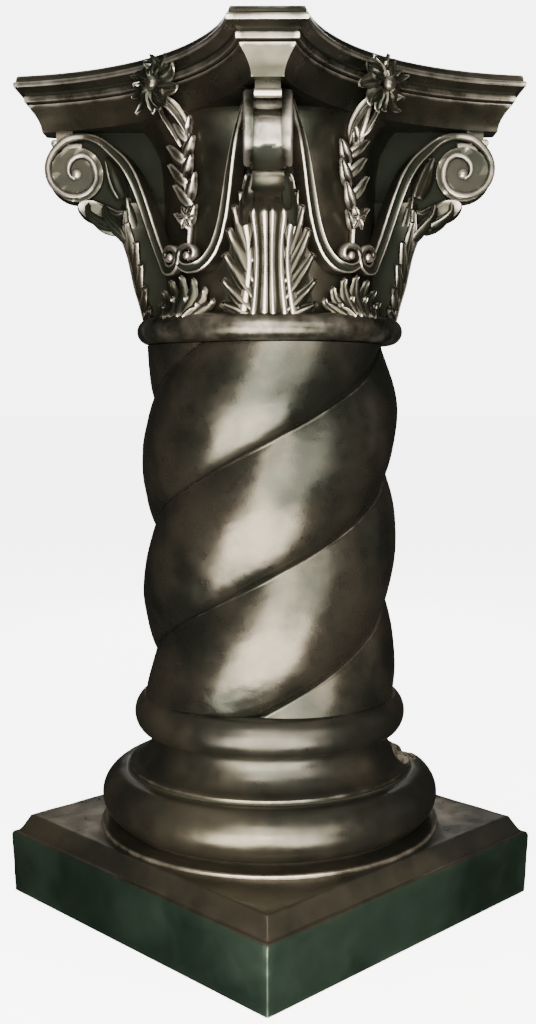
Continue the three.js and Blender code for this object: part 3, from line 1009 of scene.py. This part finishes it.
# %% Small flower on the stalk
SMALL_HEIGHT = 641
out, across = stalk_at(SMALL_HEIGHT)
spray.append(knob("small_heart", (out + 5.5, across, SMALL_HEIGHT), 3, 0.8, (1, 0, 0)))
for turn in range(30, 390, 60):
    a = math.radians(turn)
    points = [(out + rise, across + length * math.sin(a), SMALL_HEIGHT + length * math.cos(a))
              for rise, length in ((3.5, 1), (6.8, 5), (5, 11))]
    spray.append(blade("small_petal", points, (1, 0, 0.02), 4, 2.4, LEAFLET_SECTION, 8, 0.5))

# %% Low leaf between two corners
# height of the root and of the tip, degrees from the middle, half width, how far it stands out
LOW_LOBES = [(555, 590, 0, 8, 0), (555, 587, 8, 7.4, 0), (554, 579, 14.5, 6.8, 0),
             (553, 569, 19, 6, 0), (553, 572, 4.6, 5.6, 2.5), (553, 566, 11.6, 5, 2.5)]
low = []
for root, tip, spread, half, near in LOW_LOBES:
    for turn in (spread, -spread) if spread else (0,):
        points = [on_bell(0.5 * turn, 8 + near, root),
                  on_bell(0.75 * turn, 9 + near, 0.5 * (root + tip)),
                  on_bell(0.95 * turn, 9.5 + near, tip - 4), on_bell(turn, 12 + near, tip)]
        facing = polar(0.7 * turn, 1, 0.1)
        low.append(blade("low_lobe", points, facing, half, 3, LOBE_SECTION, 12, 0.5))

FACES = [0, 90, 180, 270]
for pieces, shade in [(flower, 0.15), (spray, -0.1), (low, 0.2)]:
    for piece in pieces:
        smooth_by_angle(piece, 50)
        mark_crests(piece, reach=0.65, shade=shade)
sprays = join_pieces("spray", [*flower, *spray, *low])
flower_sprays = turned_copies(sprays, FACES, "flower_spray")

# %% [markdown]
# ## Patina and rubbed bronze
#
# The casting is nearly black, with brown and olive tints that change over a few centimetres. Its
# proud edges are rubbed to a warm silvery metal, and its hollows hold a dull dark green that is
# partly patina and partly painted shade. Some pieces are darkened further as painted shade, others
# brightened as painted highlights. All patterns read Object coordinates, and the crest attribute
# says where the surface stands proud.

# %% Building a finish
def colour(text):
    """Turns a web colour into the linear values that the shader wants."""
    srgb = [int(text[i:i + 2], 16) / 255 for i in (0, 2, 4)]
    return tuple(c / 12.92 if c <= 0.04045 else ((c + 0.055) / 1.055) ** 2.4 for c in srgb) + (1,)


def patina(name, colours, rub, rough, metal=0.85):
    """A dark casting: two tints in patches, then rubbed crests, and dull hollows that are partly
    patina and partly painted shade.
    """
    material = bpy.data.materials.get(name) or bpy.data.materials.new(name)
    dark, brown, rubbed, hollow = map(colour, colours.split())
    material.use_nodes = True
    nodes, links = material.node_tree.nodes, material.node_tree.links
    nodes.clear()

    def node(kind, **settings):
        made = nodes.new("ShaderNode" + kind)
        for name, value in settings.items():
            setattr(made, name, value)
        return made

    def wire(source, output, target, socket):
        links.new(source.outputs[output], target.inputs[socket])

    def pattern(scale, detail, roughness=0.55):
        made = node("TexNoise")
        made.inputs["Scale"].default_value = scale
        made.inputs["Detail"].default_value = detail
        made.inputs["Roughness"].default_value = roughness
        wire(place, "Object", made, "Vector")
        return made

    def times_plus(source, output, factor, added, added_output):
        made = node("Math", operation="MULTIPLY_ADD")
        made.inputs[1].default_value = factor
        wire(source, output, made, 0)
        wire(added, added_output, made, 2)
        return made

    def bump(source, strength, distance):
        made = node("Bump")
        made.inputs["Strength"].default_value = strength
        made.inputs["Distance"].default_value = distance
        wire(source, "Fac", made, "Height")
        return made

    def span(source, output, low, high, to_low=0.0, to_high=1.0):
        made = node("MapRange", interpolation_type="SMOOTHSTEP")
        made.inputs["From Min"].default_value = low
        made.inputs["From Max"].default_value = high
        made.inputs["To Min"].default_value = to_low
        made.inputs["To Max"].default_value = to_high
        wire(source, output, made, "Value")
        return made

    def mix(factor, first, second):
        made = node("Mix", data_type="RGBA")
        wire(factor, "Result", made, "Factor")
        for socket, value in (("A", first), ("B", second)):
            target = next(s for s in made.inputs if s.name == socket and s.type == "RGBA")
            if isinstance(value, tuple):
                target.default_value = value
            else:
                links.new(next(s for s in value.outputs if s.type == "RGBA"), target)
        return made

    place = node("TexCoord")
    crest = node("Attribute", attribute_name="crest")
    # the first number is how often the pattern repeats in a metre
    patches, mottle, grain = pattern(9, 4), pattern(48, 6, 0.62), pattern(420, 3)
    ground = mix(span(patches, "Fac", 0.4, 0.62), dark, brown)
    # crest plus mottle gives rubbed wear on proud edges, and a painted highlight where a piece's
    # crest was raised on purpose
    wear_and_highlight = times_plus(mottle, "Fac", 0.7, crest, "Fac")
    proud = span(wear_and_highlight, "Value", 0.62, 1.25, 0, rub)
    # hollows darken towards the hollow colour: patina, and painted shade in the recesses
    sunk_patina_and_shade = span(crest, "Fac", -0.08, -0.55, 0, 0.9)
    tint = mix(sunk_patina_and_shade, mix(proud, ground, rubbed), hollow)
    shader = node("BsdfPrincipled")
    links.new(next(s for s in tint.outputs if s.type == "RGBA"), shader.inputs["Base Color"])
    wire(span(sunk_patina_and_shade, "Result", 0, 1, metal, 0.25), "Result", shader, "Metallic")
    dull = times_plus(sunk_patina_and_shade, "Result", 0.5, span(mottle, "Fac", 0.3, 0.7, *rough), "Result")
    wire(dull, "Value", shader, "Roughness")
    wire(span(sunk_patina_and_shade, "Result", 0, 1, 0.3, 0.04), "Result", shader, "Specular IOR Level")
    coarse = bump(mottle, 0.35, 0.0006)
    fine = bump(grain, 0.25, 0.0002)
    wire(coarse, "Normal", fine, "Normal")
    wire(fine, "Normal", shader, "Normal")
    wire(shader, "BSDF", node("OutputMaterial"), "Surface")
    return material


# %% The finishes
base_patina = patina("base_patina", "302f28 474236 a89d8a 1b1d14", 0.9, (0.27, 0.4))
# the block's colours are darker and greener: painted shade and a painted green reflection on its
# sides
block_painted_shade_patina = patina("block_painted_shade_patina", "141e16 212c23 b4b49f 0e140e", 0.7, (0.36, 0.5), 0.6)
shaft_patina = patina("shaft_patina", "2a2b24 443f35 b9b0a2 14150f", 0.7, (0.23, 0.34))
capital_patina = patina("capital_patina", "20221a 38342a a39b8e 0d100a", 0.8, (0.25, 0.38))
patina("broken_core", "5f5949 3d382c 8a8370 27241b", 0.8, (0.8, 0.95), 0.0)


def finish_piece(piece, material, node_name):
    """Gives a piece its material, unless it has one, hangs it under the root body and hides the CAD
    solid it stands for.
    """
    if not piece.data.materials:
        piece.data.materials.append(material)
    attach(piece, "root")
    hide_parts(node_name)


# the block under the slab takes a darker, greener copy of the slab's patina, as painted shade on its
# sides and a painted green reflection
plinth.data.materials.append(base_patina)
plinth.data.materials.append(block_painted_shade_patina)
for face in plinth.data.polygons:
    face.material_index = int(face.center.z < BLOCK_TOP * MM)
for piece, size in ((plinth, 1.6), (mouldings, 3)):
    smooth_by_angle(piece)
    mark_crests(piece, size, 0.9)
    finish_piece(piece, base_patina, "base")
smooth_by_angle(shaft, 60)
mark_crests(shaft, 3, 1.0)
finish_piece(shaft, shaft_patina, "shaft")
smooth_by_angle(bell)
# the astragal is brightened as a painted highlight; the rest of the bell is made a little darker
on_astragal = read_points(bell.data)[:, 2] < ASTRAGAL_TOP * MM
mark_crests(bell, 2.6, 0.9, np.where(on_astragal, -0.18, 0.15))
smooth_by_angle(abacus)
mark_crests(abacus, 2.6, 0.8)
for piece in (bell, abacus, *corner_scrolls, *corner_leaves, *flower_sprays):
    finish_piece(piece, capital_patina, "capital")

# %% [markdown]
# ## Light and floor
#
# The photograph shows one broad, soft highlight down the shaft, a little to the left of the
# middle, and dark sides. A tall soft light beside the camera gives that highlight. A wide one to
# the right, a low one in front and one overhead model the mouldings, and a weak light on each side
# keeps the edges readable. Two more stand behind, so that the back can be seen as well. The floor
# and the surroundings look plain and pale to the camera, but lend the dark metal almost no light.

# %% Lights
WARM = (1, 0.97, 0.93)
COOL = (0.93, 0.97, 1)
LIT_HEIGHT = 0.42


def soft_light(name, turn, distance, height, size, power, tint=WARM):
    """A soft light aimed at the shaft; turn is in degrees round from the camera."""
    clear_selection()
    place = stand_at(VIEW_AZIMUTH + turn, distance, height)
    bpy.ops.object.light_add(type="AREA", location=place)
    light = bpy.context.object
    light.name = name
    light.data.shape = "RECTANGLE"
    light.data.size, light.data.size_y = size
    light.data.energy = power
    light.data.color = tint
    towards = Vector((0, 0, LIT_HEIGHT)) - place
    light.rotation_euler = towards.to_track_quat("-Z", "Y").to_euler()
    light.visible_camera = False
    print(name, power, "W")


soft_light("key_light", -8, 1.5, 0.78, (0.7, 1.4), 64)
soft_light("wide_light", 22, 1.9, 0.9, (1.4, 1.1), 56)
soft_light("floor_card", -2, 0.8, 0.02, (1.0, 0.6), 60)
soft_light("left_fill", -100, 1.8, 0.9, (0.5, 1.2), 0.15, COOL)
soft_light("right_fill", 95, 1.8, 0.9, (0.5, 1.2), 0.8, COOL)
soft_light("top_light", 0, 0.3, 2.2, (2.4, 2.4), 20)
soft_light("back_light", 180, 1.5, 1.8, (1.4, 1.2), 34)
soft_light("back_strip", 180, 1.7, 0.8, (0.3, 1.1), 13)

# %% Surroundings
world = bpy.data.worlds.new("studio")
bpy.context.scene.world = world
world.use_nodes = True
tree = world.node_tree
tree.nodes.clear()


def background(tone, strength):
    made = tree.nodes.new("ShaderNodeBackground")
    made.inputs["Color"].default_value = tone
    made.inputs["Strength"].default_value = strength
    return made


seen = background((1, 1, 1, 1), 6)
unseen = background((1, 1, 0.96, 1), 0.03)
ray = tree.nodes.new("ShaderNodeLightPath")
choose = tree.nodes.new("ShaderNodeMixShader")
tree.links.new(ray.outputs["Is Camera Ray"], choose.inputs["Fac"])
tree.links.new(unseen.outputs["Background"], choose.inputs[1])
tree.links.new(seen.outputs["Background"], choose.inputs[2])
tree.links.new(choose.outputs["Shader"], tree.nodes.new("ShaderNodeOutputWorld").inputs["Surface"])

# %% Floor
clear_selection()
bpy.ops.mesh.primitive_circle_add(vertices=96, radius=30, fill_type="NGON", location=(0, 0, -0.0005))
floor = bpy.context.object
floor.name = "floor"
paper = bpy.data.materials.new("pale_floor")
paper.use_nodes = True
sockets = paper.node_tree.nodes["Principled BSDF"].inputs
sockets["Base Color"].default_value = (0.86, 0.86, 0.85, 1)
sockets["Roughness"].default_value = 0.9
sockets["Emission Color"].default_value = (1, 1, 1, 1)
sockets["Emission Strength"].default_value = 5.4
floor.visible_glossy = False
floor.visible_diffuse = False
floor.data.materials.append(paper)

# %% [markdown]
# ## The size of the CAD box
#
# The dressed column is meant to stay inside the box of the CAD model, so the corners of that box are
# printed at the end.

# %% Size of the CAD box
print("CAD box", [round(c, 4) for c in (*cad_low, *cad_high)])
